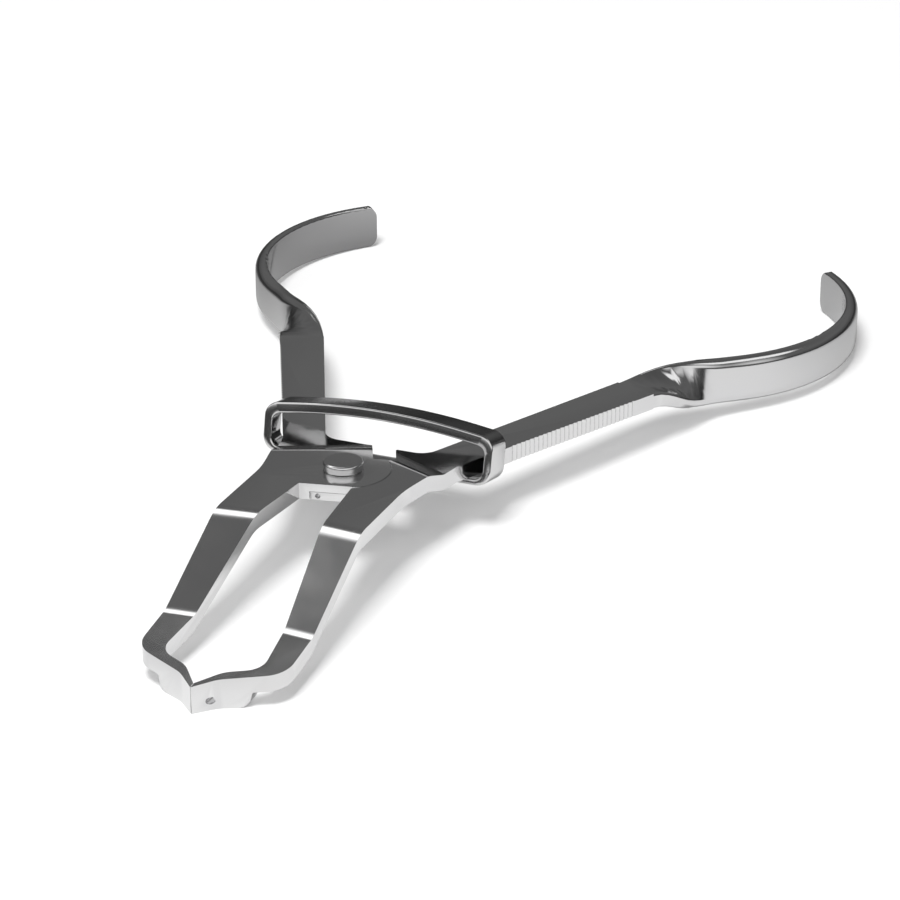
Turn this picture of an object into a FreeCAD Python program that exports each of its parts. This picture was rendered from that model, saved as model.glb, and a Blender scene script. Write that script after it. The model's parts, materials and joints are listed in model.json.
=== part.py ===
import FreeCAD, Part

import math
import os

from FreeCAD import Vector

# Ring placement forceps: two halves that do not cross, turning on one pivot, so that squeezing
# the handles spreads the jaws. A lock ring slides along the handles and holds them squeezed.
# Everything is drawn flat first: the pivot axis is the Z axis, the joint plate's upper face is
# z = 0, the jaws point to -Y and X = 0 is the plane between the halves. At the end the whole
# forceps is laid down on a table, on its two tips and the ends of its two finger hooks.

# Plates of the two halves
PLATE_T = 2.8            # thickness of each half, and of the joint
LAP_GAP = 0.05           # running gap between the two layers of the joint
STRIP_DROP = 1.4         # the handles lie this much lower than the joint plate
DROP_START = 8.1         # along the handle, where the joint plate begins to drop
DROP_END = 12.4          # and where it has reached the level of the handle
DROP_RADIUS = 2.5        # bend radius of that drop

# Jaws, seen from the side
BEND_SKEW = 5.0          # degrees that the jaw's bend lines are turned, level once squeezed
JAW_BEND = 20.5          # distance of the upper bend from the pivot
TIP_BEND = 38.8          # distance of the lower bend
JAW_SLOPE = 27.7         # degrees that the jaw drops between its bends
TIP_SLOPE = 9.0          # degrees that the tip still drops
BEND_RADIUS = 6.0        # inner radius of both bends
TIP_T = 2.4              # thickness of the tip above its foot
FOOT_DEPTH = 16.9        # from the joint plate's upper face down to the table under the tips

# Jaws, seen from above
CROTCH_HALF = 4.3        # half the width between the jaws at the crotch
CROTCH_Y = -6.99         # where the joint's front face crosses the middle plane
CROTCH_SKEW = 12.0       # degrees that this face is turned, so that its left end is in front
CROTCH_PAST = 2.0        # how far each half's plan passes the middle plane, inside its recess
MOUTH_HALF = 8.6         # half the width between the jaws, just behind the tips
JAW_OUTER = 12.65        # half the width over the jaws
WAIST_Y = -4.5           # where the jaw's outer edge turns out towards the handle
WAIST_RADIUS = 22.0
SHOULDER_TURN_Y = 10.5   # where the outer edge has become parallel to the handle
TIP_CORNER_Y = -50.0     # corner where the jaw turns in towards its tip
TIP_CORNER_RADIUS = 4.5
MOUTH_CORNER_RADIUS = 3.2
TIP_FRONT_X = 3.2        # where the tip's front edge begins to curve out to its point
TIP_FRONT_Y = -54.1
TIP_BACK_Y = -52.1       # the same place on the tip's back edge
TIP_CURVE_RADIUS = 5.0   # radius of that curve
TIP_POINT_Y = -57.0      # foremost point of the tips
TIP_END_WIDTH = 1.1      # width of the tip's end, fore and aft
TIP_GAP = 0.05           # half the hairline between the closed tips
FOOT_WIDTH = 8.2         # how far the foot under the tip reaches out from the middle
FOOT_TAPER = 0.8         # its outer end leans in by this much at the bottom
FOOT_CORNER = 2.2        # radius of its lower outer corner

# Small drilled holes: one in the front of the right tip, one in the front face of the joint
TIP_HOLE_RADIUS = 0.6
TIP_HOLE_X = 2.3
TIP_HOLE_DROP = 3.3      # its centre, below the tip's upper face
TIP_HOLE_DEPTH = 0.7
JOINT_HOLE_RADIUS = 0.45
JOINT_HOLE_X = -1.3
JOINT_HOLE_DEPTH = 1.2

# Handles: flat strips with a serrated outer edge
OUTER_ANGLE = 25.7       # degrees from +Y of the outer edge
INNER_ANGLE = 24.7       # and of the inner edge
OUTER_OFFSET = 9.63      # distance of the outer edge's line from the pivot
INNER_OFFSET = 2.78      # distance of the inner edge's line from the pivot
CREASE_INNER_Y = 54.2    # where the flat strip ends, on its inner edge
CREASE_OUTER_Y = 51.6    # and on its outer edge
SERRATION_START_Y = 22.0
SERRATION_END_Y = 47.5
SERRATION_PITCH = 1.0
SERRATION_DEPTH = 0.22
SERRATION_SHARE = 0.84   # share of the pitch that each groove is wide

# Finger hooks: the strip twists upright and bends round a circle
HOOK_RADIUS = 31.0
HOOK_CENTRE_X = 25.6
HOOK_CENTRE_Y = 95.5
HOOK_START = -46.0       # degrees on that circle, from +X
HOOK_END = 48.5
HOOK_HEIGHT = 8.4
HOOK_T = 2.3
HOOK_TOP = -0.5          # its upper edge, from the joint plate's upper face
EDGE_RADIUS = 0.5        # rounding of the strap's long edges on the inside of the hook
EDGE_FLAT = 0.1          # left flat between that and the wide rounding of its outside
HOOK_END_RADIUS = 2.3    # rounding of its end's two corners
TWIST_SPANS = 14         # straight spans between the strip's end and the upright hook
TWIST_SHARE = 0.72       # share of that length over which the strip turns upright

# Lap joint: a bar of the left half turns in a round recess in the upper layer of the right
# half, and a bar of the right half in a recess in the lower layer of the left half
RECESS_RADIUS = 8.0
RECESS_GAP = 0.12
BAR_BACK = 4.65          # distance of each bar's back face from the pivot
SHOULDER_Y = 13.2        # back edge of both shoulders, between the handles
SHOULDER_CORNER = 3.5    # radius between that edge and the handle
WALL_NEAR = 4.95         # distance from the pivot of the left shoulder's wall
WALL_FAR = 8.85          # distance from the pivot of the right shoulder's wall
WALL_CORNER = 0.3

# Pivot: a shouldered pin with a plain head, held by a round slotted nut below
PIN_RADIUS = 2.0
PIN_CLEARANCE = 0.04
HEAD_RADIUS = 3.35
HEAD_HEIGHT = 1.5
HEAD_EDGE = 0.25
FACE_CLEARANCE = 0.03    # under the head and above the nut
THREAD_RADIUS = 1.25
NUT_RADIUS = 3.2
NUT_HEIGHT = 1.3
NUT_SLOT = 0.8
NUT_SLOT_DEPTH = 0.5

# Lock ring: an oblong strap loop round both handles, which leans back
RING_Y = 16.3            # its middle, along the forceps
RING_TILT = 12.0         # degrees that its top leans back
RING_WIDTH = 6.2
RING_SIDE_GAP = 0.25     # between its ends and the serrated edges, at its back
RING_UNDER_GAP = 0.1     # between its lower bar's front edge and the underside of the strips
RING_OVER_GAP = 1.25     # between its upper bar's back edge and the top of the strips
RING_FLARE = 1.05        # its hole is narrower by this at the front, on each side
RING_END_WALL = 0.5      # thickness of its ends at the back
RING_LOWER_BAR = 1.0
RING_UPPER_BAR = 1.65
RING_ARCH = 1.4          # rise of the upper bar in its middle
RING_CORNER = 1.5        # radius of the hole's corners
RING_OUTER_CORNER = 2.6  # radius of the outer corners

REACH = 200.0            # far enough to pass through everything that is cut or kept
IN_LINE = math.radians(89.9)  # half the angle at a corner that is too straight for an arc


def direction(angle):
    """Unit vector in plan, at an angle in degrees from +Y towards +X."""
    a = math.radians(angle)
    return Vector(math.sin(a), math.cos(a), 0)


def edge_x(angle, offset, y):
    """X at height y of a line at that angle which passes the pivot at that distance."""
    a = math.radians(angle)
    return (offset + math.sin(a) * y) / math.cos(a)


def rounded_wire(corners):
    """Closed wire through corners given as (point, radius), with an arc at each rounded one."""
    count = len(corners)
    arcs = {}
    ends = []
    for i, (corner, radius) in enumerate(corners):
        into = (corners[i - 1][0] - corner).normalize()
        out = (corners[(i + 1) % count][0] - corner).normalize()
        half = math.acos(max(-1.0, min(1.0, into.dot(out)))) / 2
        if radius <= 0 or half > IN_LINE:
            ends.append((corner, corner))
            continue
        reach = radius / math.tan(half)
        start = corner + into * reach
        stop = corner + out * reach
        middle = corner + (into + out).normalize() * (radius / math.sin(half) - radius)
        arcs[i] = Part.Arc(start, middle, stop).toShape()
        ends.append((start, stop))
    chain = []
    for i in range(count):
        if i in arcs:
            chain.append(arcs[i])
        leave = ends[i][1]
        arrive = ends[(i + 1) % count][0]
        if leave.distanceToPoint(arrive) > 1e-6:
            chain.append(Part.LineSegment(leave, arrive).toShape())
    return Part.Wire(chain)


def plan_prism(corners, low=-REACH, high=REACH):
    """Upright prism over a plan outline given as (x, y, radius)."""
    wire = rounded_wire([(Vector(x, y, low), r) for x, y, r in corners])
    return Part.Face(wire).extrude(Vector(0, 0, high - low))


def side_prism(corners):
    """Prism right across X over a side view outline given as (y, z, radius)."""
    wire = rounded_wire([(Vector(-REACH, y, z), r) for y, z, r in corners])
    return Part.Face(wire).extrude(Vector(2 * REACH, 0, 0))


def turned(shape, angle):
    """The shape turned about the pivot axis, clockwise seen from above."""
    copy = shape.copy()
    copy.rotate(Vector(0, 0, 0), Vector(0, 0, 1), -angle)
    return copy


def mirrored(shape):
    """The same shape on the other side of the middle plane."""
    return shape.mirror(Vector(0, 0, 0), Vector(1, 0, 0))


def cylinder(radius, low, high):
    """Upright cylinder about the pivot axis."""
    return Part.makeCylinder(radius, high - low, Vector(0, 0, low))


def block(low, high):
    """Box between its lowest and its highest corner."""
    size = high - low
    return Part.makeBox(size.x, size.y, size.z, low)


def tip_top(forward):
    """Height of the jaw's upper face at a distance in front of the pivot, past both bends."""
    fall = (TIP_BEND - JAW_BEND) * math.tan(math.radians(JAW_SLOPE))
    return -fall - (forward - TIP_BEND) * math.tan(math.radians(TIP_SLOPE))


def jaw_band():
    """Side view of the jaw: level at the joint, then down over two bends to the tip."""
    end = TIP_BEND - TIP_POINT_Y
    slope = math.tan(math.radians(JAW_SLOPE))
    under_bend = JAW_BEND + PLATE_T * math.tan(math.radians(JAW_SLOPE / 2))
    under_tip = TIP_BEND + PLATE_T * math.tan(math.radians((JAW_SLOPE + TIP_SLOPE) / 2))
    under_tip_z = -PLATE_T - (under_tip - under_bend) * slope
    under_end_z = tip_top(end) - TIP_T / math.cos(math.radians(TIP_SLOPE))
    corners = [
        (-end, tip_top(end), 0),
        (-TIP_BEND, tip_top(TIP_BEND), BEND_RADIUS),
        (-JAW_BEND, 0, BEND_RADIUS + PLATE_T),
        (REACH, 0, 0),
        (REACH, -PLATE_T, 0),
        (-under_bend, -PLATE_T, BEND_RADIUS),
        (-under_tip, under_tip_z, BEND_RADIUS + PLATE_T),
        (-end, under_end_z, 0),
    ]
    return turned(side_prism(corners), BEND_SKEW)


def handle_band():
    """Side view of the handle: level at the joint, then down a short ramp to the strip."""
    corners = [
        (-REACH, 0, 0),
        (DROP_START, 0, DROP_RADIUS + PLATE_T),
        (DROP_END, -STRIP_DROP, DROP_RADIUS),
        (REACH, -STRIP_DROP, 0),
        (REACH, -STRIP_DROP - PLATE_T, 0),
        (DROP_END, -STRIP_DROP - PLATE_T, DROP_RADIUS + PLATE_T),
        (DROP_START, -PLATE_T, DROP_RADIUS),
        (-REACH, -PLATE_T, 0),
    ]
    return turned(side_prism(corners), INNER_ANGLE)


def tip_corners():
    """Plan corners of the right jaw, from its inner edge round the tip to its outer edge."""
    front_slope = (TIP_CORNER_Y - TIP_FRONT_Y) / (JAW_OUTER - TIP_FRONT_X)
    mouth_y = TIP_BACK_Y + front_slope * (MOUTH_HALF - TIP_FRONT_X)
    return [
        (MOUTH_HALF, mouth_y, MOUTH_CORNER_RADIUS),
        (TIP_FRONT_X, TIP_BACK_Y, TIP_CURVE_RADIUS),
        (TIP_GAP, TIP_POINT_Y + TIP_END_WIDTH, 0),
        (TIP_GAP, TIP_POINT_Y, 0),
        (TIP_FRONT_X, TIP_FRONT_Y, TIP_CURVE_RADIUS),
        (JAW_OUTER, TIP_CORNER_Y, TIP_CORNER_RADIUS),
    ]


def crotch_point(x, skew):
    """Point on the joint's front face in a half's own frame, where skew may be negative."""
    return x, CROTCH_Y - x * math.tan(math.radians(skew)), 0


def half_plan(shoulder, skew):
    """Plan of a right half as a prism, closed across the joint through its shoulder's wall."""
    root_x = edge_x(INNER_ANGLE, INNER_OFFSET, SHOULDER_Y)
    corners = [crotch_point(CROTCH_HALF, skew)] + tip_corners() + [
        (JAW_OUTER, WAIST_Y, WAIST_RADIUS),
        (edge_x(OUTER_ANGLE, OUTER_OFFSET, SHOULDER_TURN_Y), SHOULDER_TURN_Y, 0),
        (edge_x(OUTER_ANGLE, OUTER_OFFSET, CREASE_OUTER_Y), CREASE_OUTER_Y, 0),
        (edge_x(INNER_ANGLE, INNER_OFFSET, CREASE_INNER_Y), CREASE_INNER_Y, 0),
        (root_x, SHOULDER_Y, SHOULDER_CORNER),
    ] + shoulder + [crotch_point(-CROTCH_PAST, skew)]
    return plan_prism(corners)


def wall_point(distance, side, y):
    """Point on a shoulder's wall, parallel to the left handle, in the frame of that half."""
    return side * edge_x(-INNER_ANGLE, distance, y), y


def near_shoulder():
    """Shoulder of the left half, drawn as if it were a right half."""
    corner_x, corner_y = wall_point(WALL_NEAR, -1, SHOULDER_Y)
    foot_x, foot_y = wall_point(WALL_NEAR, -1, BAR_BACK)
    return [(corner_x, corner_y, WALL_CORNER), (foot_x, foot_y, 0)]


def far_shoulder():
    """Shoulder of the right half, whose wall runs down to the corner of the round recess."""
    slope = math.tan(math.radians(CROTCH_SKEW))
    rise = BAR_BACK / math.cos(math.radians(CROTCH_SKEW))
    a = math.radians(INNER_ANGLE)
    foot_y = (rise * math.cos(a) + slope * WALL_FAR) / (math.cos(a) + slope * math.sin(a))
    corner_x, corner_y = wall_point(WALL_FAR, 1, SHOULDER_Y)
    foot_x, foot_y = wall_point(WALL_FAR, 1, foot_y)
    return [(corner_x, corner_y, WALL_CORNER), (foot_x, foot_y, 0), (0, rise, 0)]


def bar(skew):
    """Prism of a right half's bar: the round disc between its front and back faces."""
    across = direction(90 + skew) * REACH
    ahead = direction(skew)
    front = ahead * (CROTCH_Y * math.cos(math.radians(skew)))
    back = ahead * BAR_BACK
    ends = [front - across, front + across, back + across, back - across]
    slab = plan_prism([(p.x, p.y, 0) for p in ends])
    return cylinder(RECESS_RADIUS - RECESS_GAP, -REACH, REACH).common(slab)


def foot():
    """Block under the tip that stands on the table, longer than needed until it is trimmed."""
    behind = TIP_CORNER_Y + TIP_CORNER_RADIUS
    outline = plan_prism(tip_corners() + [(JAW_OUTER, behind, 0), (MOUTH_HALF, behind, 0)])
    top = tip_top(-TIP_FRONT_Y) - TIP_T / 2
    low = -FOOT_DEPTH - TIP_T
    bottom = FOOT_WIDTH - FOOT_TAPER
    flat = bottom - FOOT_CORNER
    end = [(0, low, 0), (0, top, 0), (FOOT_WIDTH, top, 0), (bottom, -FOOT_DEPTH, FOOT_CORNER),
           (flat, -FOOT_DEPTH, 0), (flat, low, 0)]
    wire = rounded_wire([(Vector(x, -REACH, z), r) for x, z, r in end])
    front = Part.Face(wire).extrude(Vector(0, REACH, 0))
    near = -behind
    far = TIP_BEND - TIP_POINT_Y
    under = [(-near, tip_top(near) - TIP_T / 2, 0), (-near, low, 0),
             (-far, low, 0), (-far, tip_top(far) - TIP_T / 2, 0)]
    return outline.common(front).common(turned(side_prism(under), BEND_SKEW))


def tip_hole():
    """Blind hole drilled into the front face of the right tip."""
    face_y = TIP_FRONT_Y - (TIP_FRONT_X - TIP_HOLE_X) * (TIP_FRONT_Y - TIP_POINT_Y) / TIP_FRONT_X
    start = Vector(TIP_HOLE_X, face_y - TIP_HOLE_DEPTH, tip_top(-TIP_FRONT_Y) - TIP_HOLE_DROP)
    return Part.makeCylinder(TIP_HOLE_RADIUS, 2 * TIP_HOLE_DEPTH, start, Vector(0, 1, 0))


def joint_hole():
    """Blind hole drilled into the front face of the lower bar."""
    inward = direction(-CROTCH_SKEW)
    x, y, z = crotch_point(JOINT_HOLE_X, -CROTCH_SKEW)
    start = Vector(x, y, z - PLATE_T * 3 / 4) - inward * JOINT_HOLE_DEPTH
    return Part.makeCylinder(JOINT_HOLE_RADIUS, 2 * JOINT_HOLE_DEPTH, start, inward)


def section(centre, heading, roll, width, thickness, crowned):
    """Rounded strap across a path, its width level at roll 0 and upright at roll 90.

    Its outside goes from plainly rounded edges, where crowned is 0, to a full crown at 1.
    """
    crown = EDGE_RADIUS * (1 - crowned) + (thickness - EDGE_RADIUS - EDGE_FLAT) * crowned
    r = math.radians(roll)
    out = direction(heading + 90)
    up = Vector(0, 0, 1)
    wide = (out * math.cos(r) - up * math.sin(r)) * (width / 2)
    thick = (out * math.sin(r) + up * math.cos(r)) * (thickness / 2)
    inside = [centre - wide - thick, centre + wide - thick]
    outside = [centre + wide + thick, centre - wide + thick]
    return rounded_wire([(corner, EDGE_RADIUS) for corner in inside]
                        + [(corner, crown) for corner in outside])


def on_circle(angle):
    """Point of the hook's middle line at an angle on its circle."""
    a = math.radians(angle)
    return Vector(HOOK_CENTRE_X + HOOK_RADIUS * math.cos(a),
                  HOOK_CENTRE_Y + HOOK_RADIUS * math.sin(a), HOOK_TOP - HOOK_HEIGHT / 2)


def hook_bend():
    """The upright strap bent round its circle, with the two corners of its end rounded."""
    profile = section(on_circle(HOOK_START), -HOOK_START, 90, HOOK_HEIGHT, HOOK_T, 1.0)
    centre = Vector(HOOK_CENTRE_X, HOOK_CENTRE_Y, 0)
    bend = Part.Face(profile).revolve(centre, Vector(0, 0, 1), HOOK_END - HOOK_START)
    low = HOOK_TOP - HOOK_HEIGHT
    r = HOOK_END_RADIUS
    side = [(-2 * r, low, 0), (0, low, r), (0, HOOK_TOP, r), (-2 * r, HOOK_TOP, 0)]
    wire = rounded_wire([(Vector(-HOOK_T, y, z), radius) for y, z, radius in side])
    rounded = Part.Face(wire).extrude(Vector(2 * HOOK_T, 0, 0))
    square = block(Vector(-HOOK_T, -r, low - r), Vector(HOOK_T, r, HOOK_TOP + r))
    corners = square.cut(rounded)
    corners.rotate(Vector(0, 0, 0), Vector(0, 0, 1), HOOK_END)
    end = on_circle(HOOK_END)
    corners.translate(Vector(end.x, end.y, 0))
    return bend.cut(corners)


def hook_twist():
    """The strap between the flat strip and the hook's circle, turning upright as it goes."""
    inner = Vector(edge_x(INNER_ANGLE, INNER_OFFSET, CREASE_INNER_Y), CREASE_INNER_Y, 0)
    outer = Vector(edge_x(OUTER_ANGLE, OUTER_OFFSET, CREASE_OUTER_Y), CREASE_OUTER_Y, 0)
    first = (inner + outer) * 0.5 + Vector(0, 0, -STRIP_DROP - PLATE_T / 2)
    last = on_circle(HOOK_START)
    strip_heading = (INNER_ANGLE + OUTER_ANGLE) / 2
    crease = outer - inner
    crease_heading = -math.degrees(math.atan2(crease.y, crease.x))
    length = first.distanceToPoint(last)
    wires = []
    for i in range(TWIST_SPANS + 1):
        s = i / TWIST_SPANS
        ease = s * s * (3 - 2 * s)
        centre = first * (1 - ease) + last * ease
        centre = centre + direction(strip_heading) * (length * s * (1 - s) ** 2)
        centre = centre - direction(-HOOK_START) * (length * s * s * (1 - s))
        turn = min(1.0, s / TWIST_SHARE)
        roll = 90 * turn * turn * (3 - 2 * turn)
        heading = crease_heading * (1 - ease) - HOOK_START * ease
        width = inner.distanceToPoint(outer) * (1 - ease) + HOOK_HEIGHT * ease
        thickness = PLATE_T * (1 - ease) + HOOK_T * ease
        wires.append(section(centre, heading, roll, width, thickness, ease))
    return Part.makeLoft(wires, True, True)


def serrations():
    """Upright V grooves in the strip's outer edge, as one compound to cut away."""
    along = direction(OUTER_ANGLE)
    out = direction(OUTER_ANGLE + 90)
    reach = along * (SERRATION_PITCH * SERRATION_SHARE / 2)
    cuts = []
    y = SERRATION_START_Y
    while y < SERRATION_END_Y:
        mouth = Vector(edge_x(OUTER_ANGLE, OUTER_OFFSET, y), y, -STRIP_DROP - 2 * PLATE_T)
        root = mouth - out * SERRATION_DEPTH
        outline = Part.makePolygon([root, mouth + reach, mouth - reach, root])
        cuts.append(Part.Face(outline).extrude(Vector(0, 0, 3 * PLATE_T)))
        y += SERRATION_PITCH * along.y
    return Part.makeCompound(cuts)


def plates(shoulder, skew, bar_layer, recess_layer):
    """Jaw, joint and strip of a right half, with its bar and recess in the given layers."""
    plan = half_plan(shoulder, skew)
    behind = block(Vector(-REACH, 0, -REACH), Vector(REACH, REACH, REACH))
    recess = cylinder(RECESS_RADIUS, recess_layer[0], recess_layer[1])
    layer = cylinder(RECESS_RADIUS, bar_layer[0], bar_layer[1])
    level = cylinder(RECESS_RADIUS, -PLATE_T, 0)
    back = plan.common(handle_band()).common(behind)
    front = plan.common(jaw_band()).cut(behind)
    return back.fuse(front).cut(recess).fuse(bar(skew).common(layer).common(level))


def half(shoulder, skew, bar_layer, recess_layer):
    """A whole right half: jaw with its foot, joint layers, serrated strip and finger hook."""
    body = plates(shoulder, skew, bar_layer, recess_layer)
    body = body.fuse([foot(), hook_twist(), hook_bend()])
    bore = cylinder(PIN_RADIUS + PIN_CLEARANCE, -REACH, REACH)
    return body.cut(bore).cut(serrations()).removeSplitter()


def pivot_screw():
    """Shouldered pin with a plain head on top and a thinner threaded end."""
    head = cylinder(HEAD_RADIUS, FACE_CLEARANCE, FACE_CLEARANCE + HEAD_HEIGHT)
    head = head.makeChamfer(HEAD_EDGE, [head.Edges[0]])
    shaft = cylinder(PIN_RADIUS, -PLATE_T - FACE_CLEARANCE, FACE_CLEARANCE)
    end = cylinder(THREAD_RADIUS, -PLATE_T - FACE_CLEARANCE - NUT_HEIGHT, -PLATE_T)
    return head.fuse([shaft, end]).removeSplitter()


def pivot_nut():
    """Round nut on the pin's end, with a slot across its lower face for a driver."""
    top = -PLATE_T - FACE_CLEARANCE
    nut = cylinder(NUT_RADIUS, top - NUT_HEIGHT, top)
    low = top - NUT_HEIGHT
    slot = block(Vector(-REACH, -NUT_SLOT / 2, low - NUT_SLOT_DEPTH),
                 Vector(REACH, NUT_SLOT / 2, low + NUT_SLOT_DEPTH))
    return nut.cut([cylinder(THREAD_RADIUS, -REACH, REACH), slot]).removeSplitter()


def ring_wire(y, half_width, low, high, corner):
    """Outline across the lock ring at y, its upper side one wide arc from corner to corner."""
    rise = math.atan2(2 * RING_ARCH, half_width)
    bow = (half_width - 2 * corner) / math.sin(rise)
    corners = [(-half_width, low, corner), (half_width, low, corner), (half_width, high, corner),
               (0, high + 2 * RING_ARCH, bow), (-half_width, high, corner)]
    return rounded_wire([(Vector(x, y, z), radius) for x, z, radius in corners])


def lock_ring():
    """Oblong strap loop with an arched upper bar, leaning back over the handles."""
    lean = math.radians(RING_TILT)
    half_way = RING_WIDTH / 2
    reach = PLATE_T / 2 + half_way * math.sin(lean)
    low = -(reach + RING_UNDER_GAP) / math.cos(lean)
    high = (reach + RING_OVER_GAP) / math.cos(lean)
    back_y = RING_Y + half_way * math.cos(lean)
    hole_back = edge_x(OUTER_ANGLE, OUTER_OFFSET, back_y) + RING_SIDE_GAP
    hole = Part.makeLoft([ring_wire(-half_way, hole_back - RING_FLARE, low, high, RING_CORNER),
                          ring_wire(half_way, hole_back, low, high, RING_CORNER)], True, True)
    outline = ring_wire(-half_way, hole_back + RING_END_WALL, low - RING_LOWER_BAR,
                        high + RING_UPPER_BAR, RING_OUTER_CORNER)
    ring = Part.Face(outline).extrude(Vector(0, RING_WIDTH, 0)).cut(hole)
    ring.rotate(Vector(0, 0, 0), Vector(1, 0, 0), -RING_TILT)
    ring.translate(Vector(0, RING_Y, -STRIP_DROP - PLATE_T / 2))
    return ring


os.makedirs("parts", exist_ok=True)

middle = -PLATE_T / 2
upper = (middle + LAP_GAP / 2, REACH)
lower = (-REACH, middle - LAP_GAP / 2)

left_half = mirrored(half(near_shoulder(), CROTCH_SKEW, upper, (-REACH, middle + LAP_GAP / 2)))
right_half = half(far_shoulder(), -CROTCH_SKEW, lower, (middle - LAP_GAP / 2, REACH))
right_half = right_half.cut([tip_hole(), joint_hole()])
parts = {
    "left_half": left_half,
    "right_half": right_half,
    "pivot_screw": pivot_screw(),
    "pivot_nut": pivot_nut(),
    "lock_ring": lock_ring(),
}

# Lay the forceps on the table: it tilts until the tips and the hooks' ends both touch
hook_low = HOOK_TOP - HOOK_HEIGHT
hook_far = on_circle(HOOK_END).y - HOOK_END_RADIUS
tilt = math.degrees(math.atan2(FOOT_DEPTH + hook_low, hook_far - TIP_FRONT_Y))
for shape in parts.values():
    shape.rotate(Vector(0, 0, 0), Vector(1, 0, 0), -tilt)
behind = block(Vector(-REACH, 0, -REACH), Vector(REACH, REACH, REACH))
table = parts["left_half"].common(behind).optimalBoundingBox(False).ZMin
below = block(Vector(-REACH, -REACH, table - REACH), Vector(REACH, REACH, table))
for name in ("left_half", "right_half"):
    parts[name] = parts[name].cut(below)
box = parts["left_half"].optimalBoundingBox(False)
to_origin = Vector(0, -(box.YMin + box.YMax) / 2, -table)
for name, shape in parts.items():
    shape.translate(to_origin)
    shape.exportStep("parts/" + name + ".step")
    print(name, shape.isValid(), len(shape.Solids), round(shape.Volume, 1))
print("tilt", round(tilt, 4), "pivot at", to_origin)
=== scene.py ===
"""Looks of the ring placement forceps: steel finishes, a pale studio and the photograph's camera."""

import json
import logging
import math
from dataclasses import dataclass
from enum import Enum
from typing import Any

import bmesh
import bpy
from mathutils import Matrix, Quaternion, Vector

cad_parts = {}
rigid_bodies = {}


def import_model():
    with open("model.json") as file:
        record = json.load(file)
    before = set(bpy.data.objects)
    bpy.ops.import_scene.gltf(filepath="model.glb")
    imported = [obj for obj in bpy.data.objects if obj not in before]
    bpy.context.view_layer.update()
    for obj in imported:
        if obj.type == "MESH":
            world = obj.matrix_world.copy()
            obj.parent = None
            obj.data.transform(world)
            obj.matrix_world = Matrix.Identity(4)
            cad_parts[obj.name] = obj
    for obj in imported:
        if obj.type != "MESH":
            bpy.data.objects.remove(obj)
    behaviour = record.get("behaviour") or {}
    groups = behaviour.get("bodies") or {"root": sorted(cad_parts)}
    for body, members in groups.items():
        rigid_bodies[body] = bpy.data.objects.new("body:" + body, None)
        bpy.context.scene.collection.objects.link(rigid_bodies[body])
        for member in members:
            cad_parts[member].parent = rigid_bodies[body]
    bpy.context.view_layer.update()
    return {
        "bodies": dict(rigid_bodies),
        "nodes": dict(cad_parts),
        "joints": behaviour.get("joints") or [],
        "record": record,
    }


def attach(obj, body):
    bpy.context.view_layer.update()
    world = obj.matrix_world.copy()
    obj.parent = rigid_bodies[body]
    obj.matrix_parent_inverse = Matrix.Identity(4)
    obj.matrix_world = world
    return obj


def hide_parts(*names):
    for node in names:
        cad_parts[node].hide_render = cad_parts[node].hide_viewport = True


LOG = logging.getLogger("forceps")
MM = 0.001

# Where the finger hooks begin along the forceps, and the length over which their waves set in.
HOOK_START = 21.0 * MM
HOOK_EASE = 8.0 * MM

# Stretch of the serrated handle edges along the forceps, and the longest edge inside a groove.
SERRATIONS = (-9.5 * MM, 18.0 * MM)
SERRATION_EDGE = 1.2 * MM

# What every steel finish shares.
STEEL_IOR = 2.5
COOL_TINT = (0.985, 0.99, 1.01)
WARM_TINT = (1.01, 1.0, 0.99)
HAZE_PER_M = 90.0
HAZE_DETAIL = 4.0
HAZE_GAIN = 0.6
HAZE_SPREAD = (0.3, 0.7)
LINE_STRETCH = 40.0
LINE_DETAIL = 3.0
LINE_STRENGTH = 0.35
LINE_ROUGHNESS = 0.25
WAVES_PER_M = 70.0
WAVE_DETAIL = 1.0
# Convex edges, found by pointiness, are painted brighter as a painted edge highlight, and made rougher.
EDGE_POINTINESS = (0.52, 0.62)
EDGE_ROUGHNESS = 0.1

# Socket numbers of the mix node, whose sockets share their names.
MIX_FLOAT_A, MIX_FLOAT_B, MIX_FLOAT_OUT = 2, 3, 0
MIX_COLOUR_A, MIX_COLOUR_B, MIX_COLOUR_OUT = 6, 7, 2

Socket = bpy.types.NodeSocket
Span = tuple[float, float]
Point = tuple[float, float, float]
Stops = tuple[tuple[float, float], ...]


def grey(value: float) -> tuple[float, float, float, float]:
    """Returns an opaque grey of the given value."""
    return (value, value, value, 1.0)


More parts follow.
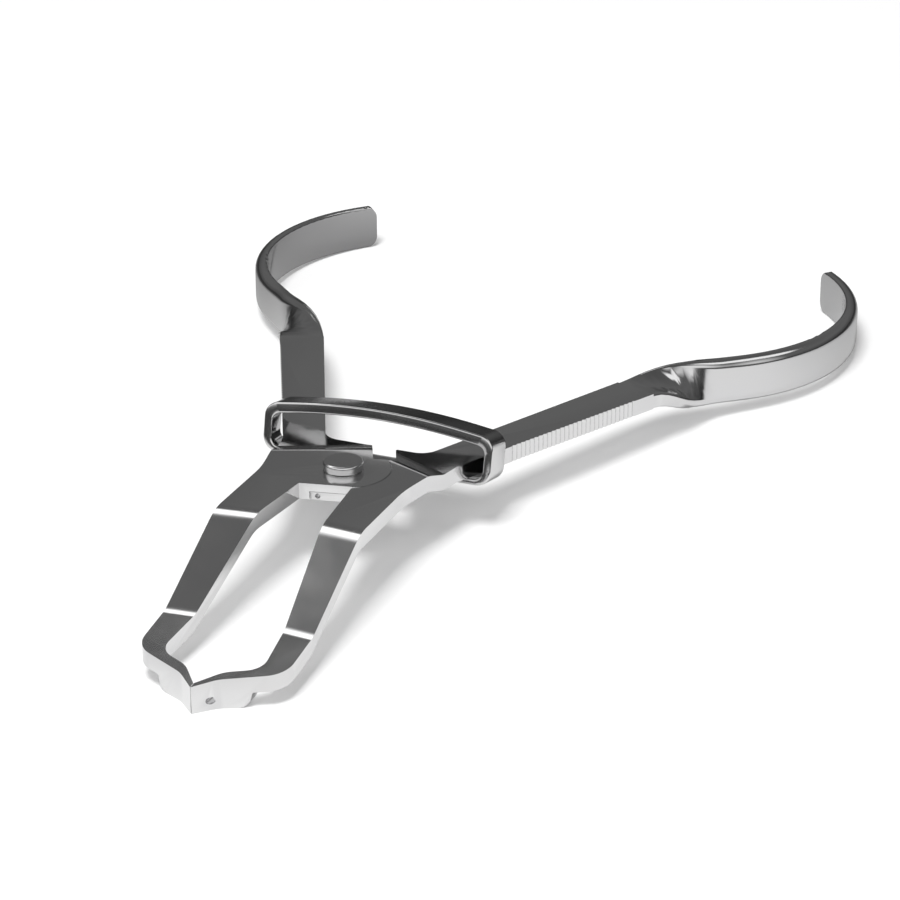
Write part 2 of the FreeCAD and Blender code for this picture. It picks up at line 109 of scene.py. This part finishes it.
class NodeSheet:
    """Short forms for the nodes that the finishes and the studio are made of."""

    def __init__(self, tree: bpy.types.NodeTree) -> None:
        """Keeps the tree that the nodes go into."""
        self.tree = tree

    def add(self, kind: str, values: dict[str, Any] | None = None) -> bpy.types.Node:
        """Adds a node.

        Args:
            kind: the node's type.
            values: input values by the sockets' names.

        Returns:
            The new node.
        """
        node = self.tree.nodes.new(kind)
        for name, value in (values or {}).items():
            node.inputs[name].default_value = value
        return node

    def link(self, source: Socket, target: Socket) -> None:
        """Links one socket to another."""
        self.tree.links.new(source, target)

    def noise(self, place: Socket, scale: float, detail: float, gain: float = 0.5) -> Socket:
        """Adds soft noise at a place.

        Args:
            place: the point that it is read at.
            scale: how many clouds lie along one unit.
            detail: how many finer layers it has.
            gain: how strong each finer layer is.

        Returns:
            The noise, from 0 to 1.
        """
        node = self.add("ShaderNodeTexNoise", {"Scale": scale, "Detail": detail, "Roughness": gain})
        self.link(place, node.inputs["Vector"])
        return node.outputs["Fac"]

    def spread(self, value: Socket, source: Span, target: Span = (0.0, 1.0), smooth: bool = False) -> Socket:
        """Maps a value from one span to another and holds it there.

        Args:
            value: the value.
            source: the span that it comes from.
            target: the span that it goes to.
            smooth: whether the change is eased at both ends.

        Returns:
            The mapped value.
        """
        names = ("From Min", "From Max", "To Min", "To Max")
        node = self.add("ShaderNodeMapRange", dict(zip(names, source + target)))
        if smooth:
            node.interpolation_type = "SMOOTHSTEP"
        self.link(value, node.inputs["Value"])
        return node.outputs["Result"]

    def scaled_sum(self, value: Socket, scale: float, other: Socket) -> Socket:
        """Returns value times scale plus other."""
        node = self.add("ShaderNodeMath")
        node.operation = "MULTIPLY_ADD"
        node.inputs[1].default_value = scale
        self.link(value, node.inputs[0])
        self.link(other, node.inputs[2])
        return node.outputs["Value"]

    def distance(self, place: Socket, middle: Point) -> Socket:
        """Returns how far a place is from a point."""
        node = self.add("ShaderNodeVectorMath")
        node.operation = "DISTANCE"
        node.inputs[1].default_value = middle
        self.link(place, node.inputs[0])
        return node.outputs["Value"]

    def blend(self, share: Socket, low: Socket | tuple, high: Socket | tuple) -> Socket:
        """Blends two colours, each of them a socket or a plain colour.

        Args:
            share: how much of the second colour is taken.
            low: the first colour.
            high: the second colour.

        Returns:
            The blended colour.
        """
        node = self.add("ShaderNodeMix")
        node.data_type = "RGBA"
        self.link(share, node.inputs["Factor"])
        for number, colour in ((MIX_COLOUR_A, low), (MIX_COLOUR_B, high)):
            if isinstance(colour, tuple):
                node.inputs[number].default_value = colour
            else:
                self.link(colour, node.inputs[number])
        return node.outputs[MIX_COLOUR_OUT]

    def bump(self, height: Socket, strength: float) -> bpy.types.Node:
        """Adds a bump node of the given strength that reads a height."""
        node = self.add("ShaderNodeBump", {"Strength": strength})
        self.link(height, node.inputs["Height"])
        return node


class Grain(Enum):
    """Direction in which a steel surface was finished."""

    ALONG = "along"
    ACROSS = "across"


@dataclass(frozen=True)
class SteelFinish:
    """One finish of stainless steel, made with nodes only.

    Args:
        name: the material's name.
        tone: grey value of the polished metal.
        roughness: roughness between scratches.
        grain: direction of the finishing lines.
        lines_per_mm: how fine those lines are.
        line_depth: height of the finishing lines, in metres.
        haze: how much the roughness wanders over the surface.
        wave_depth: height of the slow waves left by polishing, in metres.
        hook_wave_depth: the same on the finger hooks, which are shaped by hand.
        edge_sheen_and_wear: how much brighter and rougher the convex edges are; the brightness is a painted
            edge highlight.
    """

    name: str
    tone: float
    roughness: float
    grain: Grain
    lines_per_mm: float
    line_depth: float
    haze: float
    wave_depth: float
    hook_wave_depth: float
    edge_sheen_and_wear: float

    def material(self) -> bpy.types.Material:
        """Builds the material.

        Returns:
            The new material.
        """
        mat = bpy.data.materials.new(self.name)
        mat.use_nodes = True
        sheet = NodeSheet(mat.node_tree)
        shader = mat.node_tree.nodes["Principled BSDF"]
        shader.inputs["Metallic"].default_value = 1.0
        shader.inputs["IOR"].default_value = STEEL_IOR
        place = sheet.add("ShaderNodeTexCoord").outputs["Object"]
        haze = sheet.noise(place, HAZE_PER_M, HAZE_DETAIL, HAZE_GAIN)
        lines = self._lines(sheet, place)
        edge_mask = self._convex_edges(sheet)
        sheet.link(self._colour(sheet, haze, edge_mask), shader.inputs["Base Color"])
        sheet.link(self._roughness(sheet, haze, lines, edge_mask), shader.inputs["Roughness"])
        sheet.link(self._relief(sheet, place, lines), shader.inputs["Normal"])
        return mat

    def _lines(self, sheet: NodeSheet, place: Socket) -> Socket:
        """Fine finishing lines, as noise stretched along their direction."""
        fine = self.lines_per_mm / MM
        coarse = fine / LINE_STRETCH
        stretch = {Grain.ALONG: (fine, coarse, fine), Grain.ACROSS: (coarse, fine, fine)}[self.grain]
        mapping = sheet.add("ShaderNodeMapping", {"Scale": stretch})
        sheet.link(place, mapping.inputs["Vector"])
        return sheet.noise(mapping.outputs["Vector"], 1.0, LINE_DETAIL)

    def _convex_edges(self, sheet: NodeSheet) -> Socket:
        """Mask of the convex edges, from the surface's pointiness."""
        return sheet.spread(sheet.add("ShaderNodeNewGeometry").outputs["Pointiness"], EDGE_POINTINESS)

    def _colour(self, sheet: NodeSheet, haze: Socket, edge_mask: Socket) -> Socket:
        """Colours the metal, a little warmer where it is hazy, and paints its convex edges brighter as a
        painted edge highlight.
        """
        cool, warm = (tuple(self.tone * tint for tint in tints) + (1.0,) for tints in (COOL_TINT, WARM_TINT))
        cloud = sheet.blend(haze, cool, warm)
        # Convex edges painted brighter: a painted edge highlight.
        return sheet.blend(edge_mask, cloud, grey(min(1.0, self.tone * (1.0 + self.edge_sheen_and_wear))))

    def _roughness(self, sheet: NodeSheet, haze: Socket, lines: Socket, edge_mask: Socket) -> Socket:
        """Varies the roughness with haze, finishing lines and the convex edges."""
        limits = (self.roughness * (1.0 - self.haze), self.roughness * (1.0 + self.haze))
        cloud = sheet.spread(haze, HAZE_SPREAD, limits)
        streak = sheet.scaled_sum(lines, self.roughness * LINE_ROUGHNESS, cloud)
        return sheet.scaled_sum(edge_mask, self.edge_sheen_and_wear * EDGE_ROUGHNESS, streak)

    def _relief(self, sheet: NodeSheet, place: Socket, lines: Socket) -> Socket:
        """Lays slow waves from polishing by hand and the finishing lines on the surface."""
        split = sheet.add("ShaderNodeSeparateXYZ")
        sheet.link(place, split.inputs["Vector"])
        slow = sheet.bump(sheet.noise(place, WAVES_PER_M, WAVE_DETAIL), 1.0)
        hook = (HOOK_START, HOOK_START + HOOK_EASE)
        depth = sheet.spread(split.outputs["Y"], hook, (self.wave_depth, self.hook_wave_depth))
        sheet.link(depth, slow.inputs["Distance"])
        fine = sheet.bump(lines, LINE_STRENGTH)
        fine.inputs["Distance"].default_value = self.line_depth
        sheet.link(slow.outputs["Normal"], fine.inputs["Normal"])
        return fine.outputs["Normal"]


SATIN = SteelFinish("satin_steel", 0.68, 0.105, Grain.ALONG, 6.0, 0.4e-6, 0.25, 0.03 * MM, 0.2 * MM, 0.1)
RING_STEEL = SteelFinish("ring_steel", 0.66, 0.1, Grain.ACROSS, 5.0, 0.5e-6, 0.3, 0.4 * MM, 0.4 * MM, 0.1)
TURNED = SteelFinish("turned_steel", 0.66, 0.18, Grain.ACROSS, 3.0, 0.9e-6, 0.3, 0.02 * MM, 0.02 * MM, 0.06)


@dataclass
class SteelPiece:
    """A CAD node's shape with its sharp edges rounded as grinding and polishing leave them.

    Args:
        node: the node that the piece stands for.
        body: the body that it rides on.
        slot: the record's material slot; not used.
        finish: its steel finish.
        edge: width of the rounded edges, in metres.
        serrated: whether it has grooves whose small edges stay sharp.
        merge_flats: whether flat stretches are merged, which a face round a hole doesn't allow.
        sharp: edges that turn by more than this many degrees are rounded.
        edge_steps: how many faces go round a rounded edge.
        doubles: points nearer to each other than this are one, in metres.
        flat: neighbouring faces within this many degrees are one flat stretch.
        flat_weight: how strongly the large faces hold the shading flat.
    """

    node: str
    body: str
    slot: str
    finish: SteelFinish
    edge: float
    serrated: bool = False
    merge_flats: bool = True
    sharp: float = 40.0
    edge_steps: int = 3
    doubles: float = 0.002 * MM
    flat: float = 0.6
    flat_weight: int = 100

    def build(self, frame: dict[str, Any]) -> bpy.types.Object:
        """Makes the piece from a merged copy of the node.

        Args:
            frame: the loaded frame.

        Returns:
            The finished piece.
        """
        piece = self._copy(frame["nodes"][self.node])
        self._weigh_edges(piece)
        self._round_edges(piece)
        piece.data.materials.clear()
        piece.data.materials.append(self.finish.material())
        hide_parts(self.node)
        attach(piece, self.body)
        return piece

    def _copy(self, node: bpy.types.Object) -> bpy.types.Object:
        """Copies the node's mesh and merges its loose triangles into whole faces."""
        piece = bpy.data.objects.new(self.node + "_steel", node.data.copy())
        bpy.context.scene.collection.objects.link(piece)
        bpy.ops.object.select_all(action="DESELECT")
        piece.select_set(True)
        bpy.context.view_layer.objects.active = piece
        bpy.ops.mesh.customdata_custom_splitnormals_clear()
        bpy.ops.object.mode_set(mode="EDIT")
        bpy.ops.mesh.select_all(action="SELECT")
        bpy.ops.mesh.remove_doubles(threshold=self.doubles)
        if self.merge_flats:
            bpy.ops.mesh.dissolve_limited(angle_limit=math.radians(self.flat))
        bpy.ops.object.mode_set(mode="OBJECT")
        return piece

    def _weigh_edges(self, piece: bpy.types.Object) -> None:
        """Marks the outward edges to be rounded, apart from the small ones of the serrations."""
        shape = bmesh.new()
        shape.from_mesh(piece.data)
        weight = shape.edges.layers.float.new("bevel_weight_edge")
        for edge in shape.edges:
            if self.serrated and self._in_groove(edge):
                continue
            if edge.is_manifold and edge.calc_face_angle_signed() > math.radians(self.sharp):
                edge[weight] = 1.0
        shape.to_mesh(piece.data)
        shape.free()

    def _in_groove(self, edge: bmesh.types.BMEdge) -> bool:
        """Tells whether an edge is one of the small ones of the serrations."""
        middle = (edge.verts[0].co.y + edge.verts[1].co.y) / 2
        return SERRATIONS[0] < middle < SERRATIONS[1] and edge.calc_length() < SERRATION_EDGE

    def _round_edges(self, piece: bpy.types.Object) -> None:
        """Rounds the marked edges and keeps the flat faces shaded flat."""
        rounding = piece.modifiers.new("rounded_edges", "BEVEL")
        rounding.limit_method = "WEIGHT"
        rounding.width = self.edge
        rounding.segments = self.edge_steps
        rounding.use_clamp_overlap = True
        bpy.ops.object.modifier_apply(modifier=rounding.name)
        bpy.ops.object.shade_smooth_by_angle(angle=math.radians(self.sharp))
        flats = piece.modifiers.new("flat_faces", "WEIGHTED_NORMAL")
        flats.keep_sharp = True
        flats.weight = self.flat_weight
        bpy.ops.object.modifier_apply(modifier=flats.name)


@dataclass
class Halves:
    """The two forged halves, each with its jaw, its bar of the joint, its strip and its finger hook.

    Args:
        edge: width of their rounded edges, in metres.
    """

    edge: float = 0.16 * MM

    def build(self, frame: dict[str, Any]) -> list[bpy.types.Object]:
        """Dresses both halves.

        Args:
            frame: the loaded frame.

        Returns:
            The two finished pieces.
        """
        halves = [
            SteelPiece(side + "_half", side + "_side", "polished_steel", SATIN, self.edge, serrated=True)
            for side in ("left", "right")
        ]
        return [half.build(frame) for half in halves]


@dataclass
class Pivot:
    """The screw that the halves turn on, and the nut under them.

    Args:
        screw_edge: width of the screw's rounded edges, in metres.
        nut_edge: width of the nut's rounded edges, in metres.
    """

    screw_edge: float = 0.3 * MM
    nut_edge: float = 0.12 * MM

    def build(self, frame: dict[str, Any]) -> list[bpy.types.Object]:
        """Dresses the screw and the nut.

        Args:
            frame: the loaded frame.

        Returns:
            The two finished pieces.
        """
        screw = SteelPiece("pivot_screw", "pivot", "brushed_steel", TURNED, self.screw_edge)
        nut = SteelPiece("pivot_nut", "pivot", "brushed_steel", TURNED, self.nut_edge)
        return [screw.build(frame), nut.build(frame)]


@dataclass
class LockRing:
    """The loop of strap steel that slides along the handles.

    Args:
        edge: width of its rounded edges, in metres.
    """

    edge: float = 0.3 * MM

    def build(self, frame: dict[str, Any]) -> list[bpy.types.Object]:
        """Dresses the ring.

        Args:
            frame: the loaded frame.

        Returns:
            The finished ring, alone in its list.
        """
        ring = SteelPiece("lock_ring", "ring", "ring_steel", RING_STEEL, self.edge, merge_flats=False)
        return [ring.build(frame)]


@dataclass
class PhotoCamera:
    """Camera at the photograph's place, given in the frame of the joint plate.

    Args:
        azimuth: degrees round from the front of the forceps.
        elevation: degrees above the joint plate.
        roll: degrees that the picture is turned.
        distance: from the aim point, in metres.
        lens: focal length for a sensor of the usual width, in millimetres.
        aim: aim point from the pivot, on the plate's upper face, in metres.
        plate_half: half the plate's thickness, from the joint's centre to its upper face.
        reach: nearest and farthest distance that it sees, in metres.
    """

    azimuth: float = 22.48
    elevation: float = 23.96
    roll: float = -0.07
    distance: float = 593.4 * MM
    lens: float = 139.98
    aim: Point = (7.93 * MM, 26.46 * MM, -6.25 * MM)
    plate_half: float = 1.4 * MM
    reach: Span = (0.01, 20.0)

    def plate(self, frame: dict[str, Any]) -> Matrix:
        """Works out where the joint plate lies.

        Args:
            frame: the loaded frame.

        Returns:
            The transform from the plate's frame to the row's frame.
        """
        joint = next(j for j in frame["joints"] if j["name"] == "right_swing")
        up = Vector(joint["axis"]).normalized()
        turn = Vector((0.0, 0.0, 1.0)).rotation_difference(up)
        origin = Vector(joint["pos_m"]) + up * self.plate_half
        return Matrix.Translation(origin) @ turn.to_matrix().to_4x4()

    def place(self, frame: dict[str, Any]) -> None:
        """Adds the camera and makes it the scene's camera.

        Args:
            frame: the loaded frame.
        """
        a = math.radians(self.azimuth)
        e = math.radians(self.elevation)
        back = Vector((math.sin(a) * math.cos(e), -math.cos(a) * math.cos(e), math.sin(e)))
        turn = (-back).to_track_quat("-Z", "Y")
        turn = turn @ Quaternion((0.0, 0.0, 1.0), math.radians(self.roll))
        local = Matrix.Translation(Vector(self.aim) + back * self.distance) @ turn.to_matrix().to_4x4()
        data = bpy.data.cameras.new("photo_camera")
        data.lens = self.lens
        data.clip_start, data.clip_end = self.reach
        camera = bpy.data.objects.new("photo_camera", data)
        bpy.context.scene.collection.objects.link(camera)
        camera.matrix_world = self.plate(frame) @ local
        bpy.context.scene.camera = camera


@dataclass
class Table:
    """White table top that keeps the shadow, with a painted pool of light that only steel mirrors, and a
    black card on it that only steel mirrors, a painted dark reflection.

    Args:
        radius: radius of the round table top, in metres.
        sides: how many corners its outline has.
        tone: its grey value.
        roughness: its roughness.
        glow: share of plain white that the camera sees in it.
        near_painted_reflection: grey value that steel mirrors of the table close by, a painted pool of
            light.
        far_painted_reflection: grey value that steel mirrors of the table far away, painted dark.
        painted_pool: middle of the painted pool of light, in metres.
        fade: distances from there up to which the near tone holds and from which the far tone holds.
        card_radius: radius of the black card between the handles, in metres.
        card_sides: how many corners the card's outline has.
        dark_reflection_tone: its grey value, a painted dark reflection in the steel.
        card_place: its middle, in metres.
    """

    radius: float = 2.5
    sides: int = 96
    tone: float = 0.92
    roughness: float = 0.9
    glow: float = 0.2
    near_painted_reflection: float = 0.78
    far_painted_reflection: float = 0.05
    painted_pool: Point = (0.035, -0.03, 0.0)
    fade: Span = (0.055, 0.19)
    card_radius: float = 0.028
    card_sides: int = 48
    dark_reflection_tone: float = 0.01
    card_place: Point = (-0.012, 0.022, 0.0002)

    def build(self) -> None:
        """Adds the table top and the card."""
        top = self._disc("studio_floor", self.sides, self.radius, (0.0, 0.0, 0.0))
        self._dress_top(top)
        # The card is seen only in the steel's reflections: a painted dark reflection.
        card = self._disc("dark_reflection_card", self.card_sides, self.card_radius, self.card_place)
        card.active_material.node_tree.nodes["Principled BSDF"].inputs["Base Color"].default_value = grey(
            self.dark_reflection_tone
        )
        card.visible_camera = False
        card.visible_diffuse = False
        card.visible_shadow = False

    def _disc(self, name: str, sides: int, radius: float, place: Point) -> bpy.types.Object:
        """Adds a flat disc of the studio with a plain material of its own."""
        bpy.ops.object.select_all(action="DESELECT")
        bpy.ops.mesh.primitive_circle_add(vertices=sides, radius=radius, fill_type="NGON", location=place)
        disc = bpy.context.active_object
        disc.name = name
        mat = bpy.data.materials.new(name)
        mat.use_nodes = True
        disc.data.materials.append(mat)
        return disc

    def _dress_top(self, top: bpy.types.Object) -> None:
        """Makes the table top white round its shadow, with a painted pool of light where steel mirrors it.
        """
        nodes = top.active_material.node_tree.nodes
        sheet = NodeSheet(top.active_material.node_tree)
        shader = nodes["Principled BSDF"]
        shader.inputs["Roughness"].default_value = self.roughness
        shader.inputs["Specular IOR Level"].default_value = 0.0
        path = sheet.add("ShaderNodeLightPath")
        sheet.link(self._painted_reflection_tone(sheet, path.outputs["Is Glossy Ray"]), shader.inputs["Base Color"])
        light = sheet.add("ShaderNodeEmission", {"Color": grey(1.0), "Strength": 1.0})
        share = sheet.spread(path.outputs["Is Camera Ray"], (0.0, 1.0), (0.0, self.glow))
        mix = sheet.add("ShaderNodeMixShader")
        sheet.link(share, mix.inputs["Fac"])
        sheet.link(shader.outputs["BSDF"], mix.inputs[1])
        sheet.link(light.outputs["Emission"], mix.inputs[2])
        sheet.link(mix.outputs["Shader"], nodes["Material Output"].inputs["Surface"])

    def _painted_reflection_tone(self, sheet: NodeSheet, mirrored: Socket) -> Socket:
        """Table's colour: plain for the eye, and a painted pool of light, fading with distance, where steel
        mirrors it.
        """
        place = sheet.add("ShaderNodeTexCoord").outputs["Object"]
        # The painted pool of light that only the steel's reflections see.
        painted_pool_tone = sheet.spread(
            sheet.distance(place, self.painted_pool), self.fade, (self.near_painted_reflection, self.far_painted_reflection), smooth=True
        )
        tone = sheet.add("ShaderNodeMix")
        tone.inputs[MIX_FLOAT_A].default_value = self.tone
        sheet.link(mirrored, tone.inputs["Factor"])
        sheet.link(painted_pool_tone, tone.inputs[MIX_FLOAT_B])
        return tone.outputs[MIX_FLOAT_OUT]


@dataclass
class Surroundings:
    """Soft tones round the forceps, whose reflections give steel its bands.

    Args:
        softbox: grey value behind on the left, by the sine of the elevation.
        behind: grey value behind elsewhere, by the same measure.
        front: grey value in front, by the same measure.
        left_edge: sideways directions between which the softbox sets in.
        back_edge: lengthways directions between which the front gives way to what is behind.
        side_light: direction of a small round lamp screen on the right.
        side_reach: chord from that direction at which it ends, and up to which it is bright.
        side_tone: grey value of that screen.
    """

    softbox: Stops = (
        (0.00, 0.03),
        (0.20, 0.10),
        (0.37, 0.14),
        (0.70, 0.12),
        (0.725, 1.80),
        (0.83, 1.80),
        (0.88, 0.14),
    )
    behind: Stops = ((0.00, 0.03), (0.20, 0.10), (0.37, 0.14), (1.00, 0.10))
    front: Stops = ((0.00, 0.05), (0.12, 0.12), (0.36, 1.00), (0.75, 1.00), (0.86, 0.12))
    left_edge: Span = (-0.16, -0.28)
    back_edge: Span = (-0.35, 0.05)
    side_light: Point = (0.543, 0.225, 0.809)
    side_reach: Span = (0.26, 0.16)
    side_tone: float = 1.2

    def build(self) -> None:
        """Makes the world: the softbox behind on the left, an even grey in front, a screen at the side."""
        world = bpy.data.worlds.new("studio")
        bpy.context.scene.world = world
        world.use_nodes = True
        sheet = NodeSheet(world.node_tree)
        place = sheet.add("ShaderNodeTexCoord").outputs["Generated"]
        split = sheet.add("ShaderNodeSeparateXYZ")
        sheet.link(place, split.inputs["Vector"])
        height = split.outputs["Z"]
        left = sheet.spread(split.outputs["X"], self.left_edge)
        back = sheet.spread(split.outputs["Y"], self.back_edge)
        behind, softbox, front = (
            self._ramp(sheet, height, stops) for stops in (self.behind, self.softbox, self.front)
        )
        around = sheet.blend(back, front, sheet.blend(left, behind, softbox))
        screen = sheet.spread(sheet.distance(place, self.side_light), self.side_reach, smooth=True)
        light = world.node_tree.nodes["Background"]
        light.inputs["Strength"].default_value = 1.0
        sheet.link(sheet.blend(screen, around, grey(self.side_tone)), light.inputs["Color"])

    def _ramp(self, sheet: NodeSheet, height: Socket, stops: Stops) -> Socket:
        """Grey ramp over the sine of the elevation."""
        ramp = sheet.add("ShaderNodeValToRGB")
        ramp.color_ramp.interpolation = "EASE"
        points = ramp.color_ramp.elements
        while len(points) > 1:
            points.remove(points[-1])
        points[0].position = stops[0][0]
        points[0].color = grey(stops[0][1])
        for place, value in stops[1:]:
            points.new(place).color = grey(value)
        sheet.link(height, ramp.inputs["Fac"])
        return ramp.outputs["Color"]


@dataclass
class KeyLamp:
    """Soft lamp above the forceps, which casts its shadow and isn't mirrored in the steel.

    Args:
        place: where it hangs, in metres.
        size: its width and height, in metres.
        watts: its power.
    """

    place: Point = (0.0, -0.42, 1.1)
    size: float = 0.42
    watts: float = 12.5

    def build(self) -> None:
        """Hangs the lamp so that it looks at the forceps."""
        data = bpy.data.lights.new("key_lamp", "AREA")
        data.size = self.size
        data.energy = self.watts
        lamp = bpy.data.objects.new("key_lamp", data)
        lamp.location = self.place
        lamp.rotation_mode = "QUATERNION"
        lamp.rotation_quaternion = (-Vector(self.place)).to_track_quat("-Z", "Y")
        lamp.visible_glossy = False
        bpy.context.scene.collection.objects.link(lamp)


def main() -> None:
    """Builds the forceps' looks round the fixed frame and reports each piece."""
    logging.basicConfig(level=logging.INFO, format="%(name)s %(message)s")
    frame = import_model()
    bpy.context.scene.view_settings.view_transform = "Standard"
    PhotoCamera().place(frame)
    for surrounding in (Table(), Surroundings(), KeyLamp()):
        surrounding.build()
    for assembly in (Halves(), Pivot(), LockRing()):
        for piece in assembly.build(frame):
            LOG.info("%s: %d faces, %s", piece.name, len(piece.data.polygons), piece.active_material.name)


if __name__ == "__main__":
    main()
